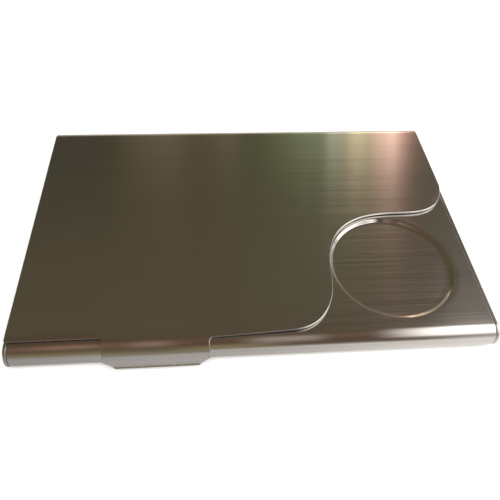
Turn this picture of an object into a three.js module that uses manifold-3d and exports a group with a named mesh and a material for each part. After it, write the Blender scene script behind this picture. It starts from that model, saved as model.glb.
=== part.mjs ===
// Business card case in brushed stainless sheet, closed, lying on its base.
// Millimetres, +Z up, +X along the long side, -Y is the front edge with the thumb tab.
// Origin: centre of the case's bounding box in X and Y, at the height of the underside.
import * as THREE from 'three';
import { mergeVertices } from 'three/addons/utils/BufferGeometryUtils.js';
import Module from 'manifold-3d';

// ---------------------------------------------------------------- driving dimensions
const WIDTH = 95.5;          // long side, over the end frames
const LID_WIDTH = 95.2;      // the lid stands back a little from both end frames
const DEPTH = 65.0;          // short side, front roll to rear roll, without the thumb tab
const BASE_T = 0.4;          // base sheet
const LID_T = 0.5;           // lid sheet
const FRONT_R = 2.85;        // outer radius of the base's half-round front roll
const LID_GAP = 0.25;        // lid underside above the base's top strip
const BASE_H = 2 * FRONT_R;                    // top of the base's strip
const HEIGHT = BASE_H + LID_GAP + LID_T;       // whole case
const REAR_R = HEIGHT / 2;                     // outer radius of the lid's rear roll
const REAR_WRAP = 80;        // degrees the rear roll runs past its rearmost point, under the case

const FRAME_T = 0.6;         // end frame side wall
const FRAME_FLANGE = 1.5;    // inward spot-weld flange of the end frame
const FRAME_FLANGE_T = 0.4;
const JOINT_GAP = 0.05;      // faces that lie against each other

const STRIP_UNDERLAP = 3.2;  // how far the base's top strip runs on under the lid's edge
const STOP_Y = 25.3;         // front face of the upturned card stops
const STOP_H = 4.6;
const STOP_X = [20, 40];     // each stop's near and far end, left and right
const BASE_REAR_Y = 27.3;    // base plate's rear edge between the stops

const TAB_X = [-29.85, -9.65]; // thumb tab, its two ends
const TAB_CHAMFER = 2.1;
const TAB_KNEE_Z = 1.75;     // where the tab's lip begins to kick out
const TAB_LIP_Z = 1.33;      // lower end of the lip
const TAB_LIP_OUT = 0.35;    // kick-out of the lip

const RECESS_C = [29.85, -14.25]; // round disc recess in the base's strip
const RECESS_R = 13.35;
const RECESS_WALL = 0.95;        // width of the sloping wall in plan
const RECESS_DEPTH = 0.55;

const HINGE_DISC_R = 2.47;   // end frame's pivot disc inside the rear roll
const HINGE_CLEAR_R = 3.45;  // frame and base stay outside this radius, ahead of the axis
const NECK_LOW = 0.2;        // frame neck's lower edge above the hinge axis
const EAR_R = 2.55;          // lid ear's disc
const EAR_T = 0.8;
const EAR_X = 46.65;         // ear's outer face
const PIN_R = 0.8;
const PIN_HEAD_R = 1.35;
const PIN_CLEAR = 0.06;
const WASHER_R = 1.95;
const WASHER_T = 0.4;

// cut edge of the lid, from the front edge round the recess to the right-hand edge
const S_CURVE = [
  [4.35, -29.72], [7.05, -29.55], [9.45, -29], [11.55, -27.9], [13.25, -26.2], [14.55, -24.15],
  [15.45, -21.85], [15.95, -19.4], [16.2, -16.95], [16.35, -14.45], [16.65, -11.95], [17.35, -9.45],
  [18.35, -7.1], [19.75, -5], [21.5, -3.3], [23.55, -1.95], [25.8, -0.95], [28.2, -0.3],
  [30.75, 0.05], [33.25, 0.2], [35.85, 0.25], [38.35, 0.32], [40.75, 0.65], [42.95, 1.48],
  [44.9, 2.95], [46.35, 5.05], [47.6, 8.3],
];
// between the tab and that curve the lid's edge laps a little way down over the front roll
const FRONT_EDGE = [[-8.85, -30.4], [-6.2, -30.27], [-2.8, -30.1], [0.8, -29.91]];
const TAB_FILLET = 0.8;      // inner corner between that edge and the tab

// card spring: leaf under the lid, root pad at the back, free end curled up at the front
const LEAF_X = [-30, 2];
const LEAF_T = 0.3;

// ---------------------------------------------------------------- derived places
const HW = WIDTH / 2, HD = DEPTH / 2;
const LW = LID_WIDTH / 2;
const FY = -HD + FRONT_R, FZ = FRONT_R;        // centre line of the front roll
const HY = HD - REAR_R, HZ = REAR_R;           // hinge axis, centre line of the rear roll
const LID_UNDER = HEIGHT - LID_T;
const FRAME_IN = HW - FRAME_T;                 // inner face of an end frame
const SHELL_END = FRAME_IN - JOINT_GAP;        // end of the base shell
const TAB_FRONT = -(FY - (FRONT_R + LID_GAP + LID_T)) + TAB_LIP_OUT; // foremost point, from the centre
const Y_SHIFT = (TAB_FRONT - HD) / 2;          // brings the bounding box's centre to Y = 0

const rad = (d) => d * Math.PI / 180;
const V2 = (x, y) => new THREE.Vector2(x, y);

// points of an arc about (cy, cz), angles in degrees from +first axis
function arc(cx, cy, r, a0, a1, n) {
  const out = [];
  for (let i = 0; i <= n; i++) {
    const a = rad(a0 + (a1 - a0) * i / n);
    out.push([cx + r * Math.cos(a), cy + r * Math.sin(a)]);
  }
  return out;
}

// ---------------------------------------------------------------- solids and booleans
const wasm = await Module();
wasm.setup();

function clean(geometry) {
  const g = geometry.clone();
  g.deleteAttribute('normal');
  g.deleteAttribute('uv');
  return mergeVertices(g, 1e-5);
}
function toSolid(geometry) {
  const g = clean(geometry);
  return new wasm.Manifold(new wasm.Mesh({
    numProp: 3,
    vertProperties: new Float32Array(g.attributes.position.array),
    triVerts: new Uint32Array(g.index.array),
  }));
}
function toGeometry(solid) {
  const m = solid.getMesh();
  const pos = new Float32Array(m.numProp === 3 ? m.vertProperties : []);
  const g = new THREE.BufferGeometry();
  g.setAttribute('position', new THREE.BufferAttribute(pos, 3));
  g.setIndex(new THREE.BufferAttribute(new Uint32Array(m.triVerts), 1));
  const flat = g.toNonIndexed();
  flat.computeVertexNormals();
  return flat;
}

// section in (Y, Z) run along X from x0 to x1
function alongX(points, x0, x1, hole) {
  const shape = new THREE.Shape(points.map(([y, z]) => V2(y, z)));
  if (hole) shape.holes.push(new THREE.Path(hole.map(([y, z]) => V2(y, z))));
  const g = new THREE.ExtrudeGeometry(shape, { depth: x1 - x0, bevelEnabled: false, steps: 1 });
  g.applyMatrix4(new THREE.Matrix4().makeBasis(
    new THREE.Vector3(0, 1, 0), new THREE.Vector3(0, 0, 1), new THREE.Vector3(1, 0, 0)));
  g.translate(x0, 0, 0);
  return g;
}
// outline in (X, Y) run up Z from z0 to z1
function alongZ(points, z0, z1) {
  const shape = new THREE.Shape(points.map(([x, y]) => V2(x, y)));
  const g = new THREE.ExtrudeGeometry(shape, { depth: z1 - z0, bevelEnabled: false, steps: 1 });
  g.translate(0, 0, z0);
  return g;
}
// section in (Z, -Y) run along Y from y0 to y1: outline given as (X, Z)
function alongY(points, y0, y1) {
  const shape = new THREE.Shape(points.map(([x, z]) => V2(x, z)));
  const g = new THREE.ExtrudeGeometry(shape, { depth: y1 - y0, bevelEnabled: false, steps: 1 });
  g.applyMatrix4(new THREE.Matrix4().makeBasis(
    new THREE.Vector3(1, 0, 0), new THREE.Vector3(0, 0, 1), new THREE.Vector3(0, -1, 0)));
  g.translate(0, y1, 0);
  return g;
}
function block(x0, x1, y0, y1, z0, z1) {
  const g = new THREE.BoxGeometry(x1 - x0, y1 - y0, z1 - z0);
  g.translate((x0 + x1) / 2, (y0 + y1) / 2, (z0 + z1) / 2);
  return g;
}
// closed profile of (radius, height) turned about Z at (x, y)
function turnedZ(profile, x, y, segments) {
  const g = new THREE.LatheGeometry(profile.map(([r, z]) => V2(r, z)), segments);
  g.rotateX(Math.PI / 2);
  g.translate(x, y, 0);
  return g;
}
// the same about the hinge axis, heights measured along +X
function turnedX(profile, segments) {
  const g = new THREE.LatheGeometry(profile.map(([r, h]) => V2(r, h)), segments);
  g.rotateZ(-Math.PI / 2);
  g.translate(0, HY, HZ);
  return g;
}
// a lathe's faces point out only if its profile runs the right way, so the order is set here
function solidOf(geometry) {
  const s = toSolid(geometry);
  if (s.volume() > 0) return s;
  const g = clean(geometry);
  const idx = g.index.array;
  for (let i = 0; i < idx.length; i += 3) [idx[i], idx[i + 1]] = [idx[i + 1], idx[i]];
  return toSolid(g);
}

// ---------------------------------------------------------------- the lid's cut edge in plan
const sCurve = new THREE.SplineCurve(S_CURVE.map(([x, y]) => V2(x, y)));
const lidCurve = new THREE.SplineCurve([...FRONT_EDGE, ...S_CURVE].map(([x, y]) => V2(x, y)));
const sPoints = lidCurve.getSpacedPoints(54).map((p) => [p.x, p.y]);
// the S-shaped part moved sideways under the lid
const stripEdge = sCurve.getSpacedPoints(26).map((p, i, all) => {
  const t = sCurve.getTangentAt(i / (all.length - 1));
  return [p.x - t.y * STRIP_UNDERLAP, p.y + t.x * STRIP_UNDERLAP];
}).filter(([x]) => x < SHELL_END - 0.5);

// ---------------------------------------------------------------- base shell
function baseShell() {
  const outer = arc(FY, FZ, FRONT_R, -90, -270, 16);
  const inner = arc(FY, FZ, FRONT_R - BASE_T, -270, -90, 16);
  const stripBack = 13;
  const section = [
    [BASE_REAR_Y, BASE_T], [BASE_REAR_Y, 0],
    ...outer,
    [stripBack, BASE_H], [stripBack, BASE_H - BASE_T],
    ...inner,
  ].reverse();
  let s = solidOf(alongX(section, -SHELL_END, SHELL_END));
  // trim the top sheet back to the strip
  const last = stripEdge[stripEdge.length - 1];
  const trim = [
    [-HW - 2, 20], [-HW - 2, FY + STRIP_UNDERLAP],
    ...stripEdge,
    [HW + 2, last[1] + 0.6], [HW + 2, 20],
  ];
  s = s.subtract(solidOf(alongZ(trim, BASE_H - BASE_T - 0.8, BASE_H + 1)));
  // pressed disc recess: the sheet steps down by RECESS_DEPTH with a sloping wall
  const [cx, cy] = RECESS_C;
  const foot = RECESS_R - RECESS_WALL;
  const under = BASE_H - BASE_T - RECESS_DEPTH;
  s = s.add(solidOf(turnedZ([
    [0, under], [foot + 0.3, under], [RECESS_R + 0.25, BASE_H - BASE_T + 0.02], [0, BASE_H - BASE_T + 0.02],
  ], cx, cy, 64)));
  s = s.subtract(solidOf(turnedZ([
    [0, BASE_H - RECESS_DEPTH], [foot, BASE_H - RECESS_DEPTH], [RECESS_R, BASE_H],
    [RECESS_R, BASE_H + 1], [0, BASE_H + 1],
  ], cx, cy, 64)));
  // upturned card stops on the rear edge, plate notched behind them
  for (const side of [-1, 1]) {
    const x0 = side > 0 ? STOP_X[0] : -STOP_X[1];
    const x1 = side > 0 ? STOP_X[1] : -STOP_X[0];
    s = s.subtract(solidOf(block(x0 - 0.6, x1 + 0.6, STOP_Y + BASE_T, BASE_REAR_Y + 1, -1, BASE_T + 1)));
    s = s.add(solidOf(alongY([
      [x0, 0.05], [x1, 0.05], [x1, STOP_H - 1], [x1 - 1, STOP_H], [x0 + 1, STOP_H], [x0, STOP_H - 1],
    ], STOP_Y, STOP_Y + BASE_T)));
  }
  return toGeometry(s);
}

// ---------------------------------------------------------------- lid shell
function lidShell() {
  const tabOut = FRONT_R + LID_GAP + LID_T, tabIn = FRONT_R + LID_GAP;
  const lipIn = 0.62 * LID_T;
  const section = [
    // outside, from the tab's lip over the top to the rear roll's lower edge
    [FY - tabOut - TAB_LIP_OUT, TAB_LIP_Z],
    [FY - tabOut - TAB_LIP_OUT * 0.45, TAB_KNEE_Z - 0.16],
    [FY - tabOut, TAB_KNEE_Z + 0.15],
    ...arc(FY, FZ, tabOut, 180, 90, 10),
    ...arc(HY, HZ, REAR_R, 90, -REAR_WRAP, 18),
    // inside, back again
    ...arc(HY, HZ, REAR_R - LID_T, -REAR_WRAP, 90, 18),
    ...arc(FY, FZ, tabIn, 90, 180, 10),
    [FY - tabIn, TAB_KNEE_Z],
    [FY - tabIn - TAB_LIP_OUT * 0.45, TAB_KNEE_Z - 0.34],
    [FY - tabIn - TAB_LIP_OUT, TAB_LIP_Z - lipIn],
  ].reverse();
  let s = solidOf(alongX(section, -LW, LW));
  // front sheet is left only at the tab, apart from the lap to its right
  const FRONT_LOW = FRONT_EDGE[0][1] - TAB_FILLET;
  s = s.subtract(solidOf(block(-HW - 1, TAB_X[0], -HD - 4, FY, -1, HEIGHT + 1)));
  s = s.subtract(solidOf(block(TAB_X[1], HW + 1, -HD - 4, FRONT_LOW, -1, HEIGHT + 1)));
  // lower corners of the tab
  const zLow = TAB_LIP_Z - lipIn - 0.5, zc = TAB_LIP_Z - lipIn + TAB_CHAMFER + 0.1;
  for (const [x, d] of [[TAB_X[0], 1], [TAB_X[1], -1]]) {
    const tri = [[x - d, zLow], [x + d * (zc - zLow), zLow], [x, zc], [x - d, zc]];
    s = s.subtract(solidOf(alongY(d > 0 ? tri : tri.reverse(), -HD - 4, FY - 1)));
  }
  // S-shaped cut round the disc recess
  const end = sPoints[sPoints.length - 1];
  const fillet = arc(TAB_X[1] + TAB_FILLET, FRONT_LOW, TAB_FILLET, 180, 90, 5);
  const cut = [
    [TAB_X[1], FRONT_LOW - 0.3], [HW + 1, FRONT_LOW - 0.3], [HW + 1, end[1] + 0.9],
    ...sPoints.slice().reverse(), ...fillet.slice(0, -1).reverse(),
  ];
  s = s.subtract(solidOf(alongZ(cut, LID_UNDER - 0.5, HEIGHT + 1)));
  return toGeometry(s);
}

// ---------------------------------------------------------------- end frames (side +1 right, -1 left)
function endFrame(side) {
  const gapA = Math.asin(NECK_LOW / HINGE_DISC_R) * 180 / Math.PI;
  const clearY = (z) => HY - Math.sqrt(HINGE_CLEAR_R ** 2 - (HZ - z) ** 2);
  const tipZ = HZ - Math.sqrt(HINGE_CLEAR_R ** 2 - (HY - BASE_REAR_Y) ** 2);
  const aTip = Math.atan2(tipZ - HZ, BASE_REAR_Y - HY) * 180 / Math.PI;   // about -125
  const outline = [
    ...arc(FY, FZ, FRONT_R, -90, -270, 16),
    ...arc(HY, HZ, HINGE_DISC_R, 90, -180 - gapA, 26),
    [clearY(HZ), HZ + NECK_LOW],
    ...arc(HY, HZ, HINGE_CLEAR_R, -180, aTip, 7),
    [BASE_REAR_Y, 0],
  ].reverse();
  const x0 = side > 0 ? FRAME_IN : -HW, x1 = side > 0 ? HW : -FRAME_IN;
  let s = solidOf(alongX(outline, x0, x1));
  // spot-weld flange on the base plate
  const f0 = side > 0 ? FRAME_IN - FRAME_FLANGE : -FRAME_IN - 0.2;
  const f1 = side > 0 ? FRAME_IN + 0.2 : -FRAME_IN + FRAME_FLANGE;
  s = s.add(solidOf(block(f0, f1, FY + 2, STOP_Y - 2.5, BASE_T + JOINT_GAP, BASE_T + JOINT_GAP + FRAME_FLANGE_T)));
  // countersunk hole for the hinge pin
  const e = 0.02;
  const hole = [
    [0, FRAME_IN - 0.5], [PIN_R + PIN_CLEAR, FRAME_IN - 0.5], [PIN_R + PIN_CLEAR, HW - 0.4],
    [PIN_HEAD_R + PIN_CLEAR, HW + e], [PIN_HEAD_R + PIN_CLEAR, HW + 1], [0, HW + 1],
  ].map(([r, h]) => [r, h * side]);
  s = s.subtract(solidOf(turnedX(hole, 20)));
  return toGeometry(s);
}

// ---------------------------------------------------------------- lid ears
function lidEar(side) {
  const padZ1 = LID_UNDER - JOINT_GAP, padZ0 = padZ1 - 0.55;
  const webY = HY - 5.2;
  const outline = [
    ...arc(HY, HZ, EAR_R, 72, -200, 24),
    [webY, padZ0], [webY, padZ1], [HY + 0.1, padZ1],
  ].reverse();
  const x1 = EAR_X * side, x0 = (EAR_X - EAR_T) * side;
  let s = solidOf(alongX(outline, Math.min(x0, x1), Math.max(x0, x1)));
  // spot-weld pad under the lid sheet
  const p0 = (EAR_X - 6.2) * side, p1 = (EAR_X - 0.2) * side;
  s = s.add(solidOf(block(Math.min(p0, p1), Math.max(p0, p1), webY, HY - 0.4, padZ0, padZ1)));
  const hole = [
    [0, EAR_X - EAR_T - 1], [PIN_R + PIN_CLEAR, EAR_X - EAR_T - 1], [PIN_R + PIN_CLEAR, EAR_X + 1], [0, EAR_X + 1],
  ].map(([r, h]) => [r, h * side]);
  s = s.subtract(solidOf(turnedX(hole, 20)));
  return toGeometry(s);
}

// ---------------------------------------------------------------- hinge pins and washers
const EAR_IN = EAR_X - EAR_T;
function hingePin(side) {
  const inner = EAR_IN - JOINT_GAP;
  const p = [
    [0, inner - 0.5], [0.8, inner - 0.5], [1.2, inner - 0.36], [PIN_HEAD_R, inner - 0.12], [PIN_HEAD_R, inner],
    [PIN_R, inner], [PIN_R, HW - 0.4], [PIN_HEAD_R, HW], [0, HW],
  ].map(([r, h]) => [r, h * side]);
  return toGeometry(solidOf(turnedX(p, 20)));
}
function hingeWasher(side) {
  const a = EAR_X + JOINT_GAP, b = FRAME_IN - JOINT_GAP;
  const p = [
    [PIN_R + PIN_CLEAR, a], [WASHER_R - 0.1, a], [WASHER_R, a + 0.1], [WASHER_R, b - 0.1], [WASHER_R - 0.1, b],
    [PIN_R + PIN_CLEAR, b], [PIN_R + PIN_CLEAR, a],
  ].map(([r, h]) => [r, h * side]);
  return toGeometry(solidOf(turnedX(p, 20)));
}

// ---------------------------------------------------------------- card spring
function cardSpring() {
  const top = LID_UNDER - JOINT_GAP;
  // centre line from the root pad forward, top face heights
  const line = [
    [22, top], [16, top], [14.5, top - 0.03], [12, top - 0.16], [8, top - 0.36], [3, top - 0.58],
    [-2, top - 0.77], [-5.5, top - 0.84], [-7.5, top - 0.8], [-9, top - 0.68],
  ];
  const section = [
    ...line,
    ...line.slice().reverse().map(([y, z]) => [y, z - LEAF_T]),
  ];
  let s = solidOf(alongX(section.reverse(), LEAF_X[0], LEAF_X[1]));
  // leaf narrows towards the free end
  for (const [x, d] of [[LEAF_X[0], 1], [LEAF_X[1], -1]]) {
    const tri = [[x - d, -10], [x + d * 7, -10], [x, 12], [x - d, 12]];
    s = s.subtract(solidOf(alongZ(d > 0 ? tri : tri.reverse(), 0, HEIGHT)));
  }
  return toGeometry(s);
}

// ---------------------------------------------------------------- scene graph
const steel = (color, roughness) => new THREE.MeshStandardMaterial({ color, roughness, metalness: 1.0 });
const lidSteel = steel(0x8d887c, 0.34);
const baseSteel = steel(0x96908a, 0.36);
const frameSteel = steel(0x5c5a57, 0.42);
const hingeSteel = steel(0xb8b8ba, 0.25);
const springSteel = steel(0x9fa1a4, 0.3);

function piece(name, geometry, material) {
  const m = new THREE.Mesh(geometry, material);
  m.name = name;
  return m;
}

const group = new THREE.Group();
group.position.set(0, Y_SHIFT, 0);

const base = new THREE.Group();
base.add(
  piece('base_shell', baseShell(), baseSteel),
  piece('left_end_frame', endFrame(-1), frameSteel),
  piece('right_end_frame', endFrame(1), frameSteel),
  piece('left_hinge_pin', hingePin(-1), hingeSteel),
  piece('right_hinge_pin', hingePin(1), hingeSteel),
  piece('left_hinge_washer', hingeWasher(-1), hingeSteel),
  piece('right_hinge_washer', hingeWasher(1), hingeSteel),
);

const lid = new THREE.Group();
lid.add(
  piece('lid_shell', lidShell(), lidSteel),
  piece('left_lid_ear', lidEar(-1), frameSteel),
  piece('right_lid_ear', lidEar(1), frameSteel),
  piece('card_spring', cardSpring(), springSteel),
);

group.add(base, lid);

export default group;
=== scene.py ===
# Looks of the brushed-steel business card case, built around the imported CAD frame.
# Lengths below are in millimetres in the case's own axes; they are turned into the row frame's metres at the end.
import bpy, math
import numpy as np
from mathutils import Vector, Matrix
from mathutils.geometry import delaunay_2d_cdt


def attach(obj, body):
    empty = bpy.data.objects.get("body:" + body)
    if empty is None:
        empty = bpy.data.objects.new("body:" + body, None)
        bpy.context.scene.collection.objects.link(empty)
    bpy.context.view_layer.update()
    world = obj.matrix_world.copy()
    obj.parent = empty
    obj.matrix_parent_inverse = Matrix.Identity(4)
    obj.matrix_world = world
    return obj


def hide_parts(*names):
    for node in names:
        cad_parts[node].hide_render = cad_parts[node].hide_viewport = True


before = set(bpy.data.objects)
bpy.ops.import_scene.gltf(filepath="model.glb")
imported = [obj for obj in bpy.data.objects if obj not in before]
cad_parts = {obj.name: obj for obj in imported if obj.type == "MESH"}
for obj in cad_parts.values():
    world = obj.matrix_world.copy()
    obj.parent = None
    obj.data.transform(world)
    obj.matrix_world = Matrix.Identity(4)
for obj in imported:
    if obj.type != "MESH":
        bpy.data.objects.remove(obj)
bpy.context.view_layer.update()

# ------------------------------------------------------------------ sizes, the same as in the CAD
WIDTH, LID_WIDTH, DEPTH = 95.5, 95.2, 65.0
BASE_T, LID_T = 0.4, 0.5
FRONT_R, LID_GAP = 2.85, 0.25
BASE_H = 2 * FRONT_R
HEIGHT = BASE_H + LID_GAP + LID_T
REAR_R, REAR_WRAP = HEIGHT / 2, 80.0
FRAME_T, JOINT_GAP = 0.6, 0.05
HW, HD = WIDTH / 2, DEPTH / 2
LW = LID_WIDTH / 2
FY, FZ = -HD + FRONT_R, FRONT_R
HY, HZ = HD - REAR_R, REAR_R
LID_UNDER = HEIGHT - LID_T
FRAME_IN = HW - FRAME_T
SHELL_END = FRAME_IN - JOINT_GAP
STRIP_UNDERLAP = 3.2
TAB_X = (-29.85, -9.65)
RECESS_C, RECESS_R, RECESS_WALL, RECESS_DEPTH = (29.85, -14.25), 13.35, 0.95, 0.55
Y_SHIFT = 0.55
S_CURVE = [
    (4.35, -29.72), (7.05, -29.55), (9.45, -29), (11.55, -27.9), (13.25, -26.2), (14.55, -24.15),
    (15.45, -21.85), (15.95, -19.4), (16.2, -16.95), (16.35, -14.45), (16.65, -11.95), (17.35, -9.45),
    (18.35, -7.1), (19.75, -5), (21.5, -3.3), (23.55, -1.95), (25.8, -0.95), (28.2, -0.3),
    (30.75, 0.05), (33.25, 0.2), (35.85, 0.25), (38.35, 0.32), (40.75, 0.65), (42.95, 1.48),
    (44.9, 2.95), (46.35, 5.05), (47.6, 8.3)]
FRONT_EDGE = [(-8.85, -30.4), (-6.2, -30.27), (-2.8, -30.1), (0.8, -29.91)]
TAB_FILLET = 0.8
EASE = 0.07
rad = math.radians


# ------------------------------------------------------------------ 2D helpers
def spline(points, n):
    """Catmull-Rom through the points, as evenly spaced points with unit tangents."""
    p = np.array(points, float)
    q = np.vstack([2 * p[0] - p[1], p, 2 * p[-1] - p[-2]])
    out = []
    for i in range(1, len(q) - 2):
        a, b, c, d = q[i - 1], q[i], q[i + 1], q[i + 2]
        for t in np.linspace(0, 1, 40, endpoint=False):
            out.append(0.5 * ((2 * b) + (c - a) * t + (2 * a - 5 * b + 4 * c - d) * t ** 2 + (3 * b - a - 3 * c + d) * t ** 3))
    out.append(q[-2])
    out = np.array(out)
    # light smoothing of the dense line keeps its curvature even
    for _ in range(60):
        out[1:-1] = 0.5 * out[1:-1] + 0.25 * (out[:-2] + out[2:])
    s = np.r_[0, np.cumsum(np.hypot(*np.diff(out, axis=0).T))]
    t = np.linspace(0, s[-1], n)
    pts = np.c_[np.interp(t, s, out[:, 0]), np.interp(t, s, out[:, 1])]
    tan = np.gradient(pts, axis=0)
    tan /= np.hypot(*tan.T)[:, None]
    return pts, tan


def rounded(corners, seg=6):
    """Polygon from (x, y, radius) corners, each rounded."""
    out, n = [], len(corners)
    for i in range(n):
        x, y, r = corners[i]
        p, a, b = np.array([x, y]), np.array(corners[i - 1][:2]), np.array(corners[(i + 1) % n][:2])
        if r <= 0:
            out.append(p)
            continue
        u, v = a - p, b - p
        lu, lv = np.hypot(*u), np.hypot(*v)
        u, v = u / lu, v / lv
        ang = math.acos(max(-1, min(1, float(u @ v))))
        if ang > math.pi - 0.02:
            out.append(p)
            continue
        d = min(r / math.tan(ang / 2), 0.48 * lu, 0.48 * lv)
        r = d * math.tan(ang / 2)
        c = p + (u + v) / np.hypot(*(u + v)) * (r / math.sin(ang / 2))
        s, e = p + u * d - c, p + v * d - c
        a0, a1 = math.atan2(s[1], s[0]), math.atan2(e[1], e[0])
        da = (a1 - a0 + math.pi) % (2 * math.pi) - math.pi
        for k in range(seg + 1):
            t = a0 + da * k / seg
            out.append(c + r * np.array([math.cos(t), math.sin(t)]))
    return np.array(out)


def dense(poly, step):
    """Closed polygon with extra points so that no side is longer than step, and none coincide."""
    out = []
    n = len(poly)
    for i in range(n):
        a, b = poly[i], poly[(i + 1) % n]
        L = float(np.hypot(*(b - a)))
        if L < 1e-4:
            continue
        k = max(1, int(math.ceil(L / step)))
        for j in range(k):
            out.append(a + (b - a) * j / k)
    return np.array(out)


def outward(poly):
    """Unit normals pointing out of a counter-clockwise polygon, with the mitre that keeps an offset parallel."""
    e = np.roll(poly, -1, 0) - poly
    e /= np.hypot(*e.T)[:, None]
    ne = np.c_[e[:, 1], -e[:, 0]]
    m = ne + np.roll(ne, 1, 0)
    m /= np.hypot(*m.T)[:, None]
    k = 1 / np.clip((m * ne).sum(1), 0.5, 1)
    return m, k


def inside(pts, poly):
    x, y = pts[:, 0][:, None], pts[:, 1][:, None]
    x0, y0 = poly[:, 0][None], poly[:, 1][None]
    x1, y1 = np.roll(poly[:, 0], -1)[None], np.roll(poly[:, 1], -1)[None]
    cond = (y0 > y) != (y1 > y)
    with np.errstate(divide="ignore", invalid="ignore"):
        xi = x0 + (y - y0) * (x1 - x0) / (y1 - y0)
    return (np.where(cond, x < xi, False).sum(1) % 2) == 1


def near(pts, poly, d):
    """True for points closer than d to the polygon's vertices."""
    from mathutils.kdtree import KDTree
    t = KDTree(len(poly))
    for i, p in enumerate(poly):
        t.insert((p[0], p[1], 0), i)
    t.balance()
    return np.array([t.find((p[0], p[1], 0))[2] < d for p in pts])


# ------------------------------------------------------------------ sheet profiles
class Profile:
    """A bent sheet's outer face in the YZ plane, from lines ("L", length) and arcs ("A", radius, turn in degrees).
    The outer face is on the left of the running direction."""

    def __init__(self, y, z, heading, parts):
        self.y, self.z, self.h, self.parts = y, z, heading, []
        s = 0.0
        cur = (y, z, rad(heading))
        for p in parts:
            if p[0] == "L":
                L = p[1]
                self.parts.append((s, L, "L", cur, 0.0))
                cur = (cur[0] + L * math.cos(cur[2]), cur[1] + L * math.sin(cur[2]), cur[2])
            else:
                R, turn = p[1], rad(p[2])
                L = R * abs(turn)
                self.parts.append((s, L, "A", cur, turn))
                sg = 1 if turn > 0 else -1
                cx, cz = cur[0] - sg * R * math.sin(cur[2]), cur[1] + sg * R * math.cos(cur[2])
                d = cur[2] + turn
                cur = (cx + sg * R * math.sin(d), cz - sg * R * math.cos(d), d)
            s += L
        self.length = s
        self.end = cur

    def at(self, s):
        s = np.asarray(s, float)
        y, z, d = np.zeros_like(s), np.zeros_like(s), np.zeros_like(s)
        last = len(self.parts) - 1
        for i, (s0, L, kind, (py, pz, ph), turn) in enumerate(self.parts):
            m = (s >= s0 - 1e-9) if i == last else (s >= s0 - 1e-9) & (s < s0 + L - 1e-9)
            if i == 0:
                m = m | (s < s0)
            q = s[m] - s0
            if kind == "L":
                y[m], z[m], d[m] = py + q * math.cos(ph), pz + q * math.sin(ph), ph
            else:
                sg = 1 if turn > 0 else -1
                R = L / abs(turn)
                cx, cz = py - sg * R * math.sin(ph), pz + sg * R * math.cos(ph)
                a = ph + sg * q / R
                y[m], z[m], d[m] = cx + sg * R * np.sin(a), cz - sg * R * np.cos(a), a
        return y, z, d

    def rows(self, flat, bend_deg):
        """s values for inner points: sparse on flats, close on bends."""
        out = [0.0]
        for s0, L, kind, _, turn in self.parts:
            n = max(1, math.ceil(L / flat)) if kind == "L" else max(2, math.ceil(abs(math.degrees(turn)) / bend_deg))
            out += [s0 + L * (k + 1) / n for k in range(n)]
        return np.array(out)


def bent(profile):
    def f(ab):
        y, z, d = profile.at(ab[:, 1])
        zero, one = np.zeros(len(ab)), np.ones(len(ab))
        P = np.c_[ab[:, 0], y, z]
        return P, np.c_[one, zero, zero], np.c_[zero, np.cos(d), np.sin(d)], np.c_[zero, -np.sin(d), np.cos(d)]
    return f


def flat_x(x, side):
    """A plate square to X, outer face at x, facing side. The 2D coordinates are (side * y, z)."""
    def f(ab):
        n = len(ab)
        zero, one = np.zeros(n), np.ones(n)
        return (np.c_[one * x, side * ab[:, 0], ab[:, 1]], np.c_[zero, one * side, zero],
                np.c_[zero, zero, one], np.c_[one * side, zero, zero])
    return f


def flat_z(z, side):
    """A plate square to Z, outer face at z. The 2D coordinates are (side * x, y)."""
    def f(ab):
        n = len(ab)
        zero, one = np.zeros(n), np.ones(n)
        return (np.c_[side * ab[:, 0], ab[:, 1], one * z], np.c_[one * side, zero, zero],
                np.c_[zero, one, zero], np.c_[zero, zero, one * side])
    return f


# ------------------------------------------------------------------ mesh building
class Mesh:
    def __init__(self):
        self.v, self.n, self.uv, self.f, self.m = [], [], [], [], []
        self.count = 0

    def add(self, verts, normals, uv, faces, mats):
        self.v.append(verts); self.n.append(normals); self.uv.append(uv)
        self.f += [tuple(int(i) + self.count for i in f) for f in faces]
        self.m += list(mats)
        self.count += len(verts)

    def to_object(self, name, materials):
        v = np.vstack(self.v) * 1e-3
        v[:, 1] += Y_SHIFT * 1e-3
        n = np.vstack(self.n)
        n /= np.linalg.norm(n, axis=1)[:, None]
        uv = np.vstack(self.uv)
        me = bpy.data.meshes.new(name)
        me.from_pydata(v.tolist(), [], self.f)
        me.polygons.foreach_set("material_index", self.m)
        me.polygons.foreach_set("use_smooth", [True] * len(self.f))
        layer = me.uv_layers.new(name="brush")
        li = np.zeros(len(me.loops), np.int32)
        me.loops.foreach_get("vertex_index", li)
        layer.data.foreach_set("uv", (uv[li] * 1e-2).astype(np.float32).ravel())
        me.update()
        me.normals_split_custom_set_from_vertices(n.tolist())
        for m in materials:
            me.materials.append(m)
        o = bpy.data.objects.new(name, me)
        bpy.context.scene.collection.objects.link(o)
        return o


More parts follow.
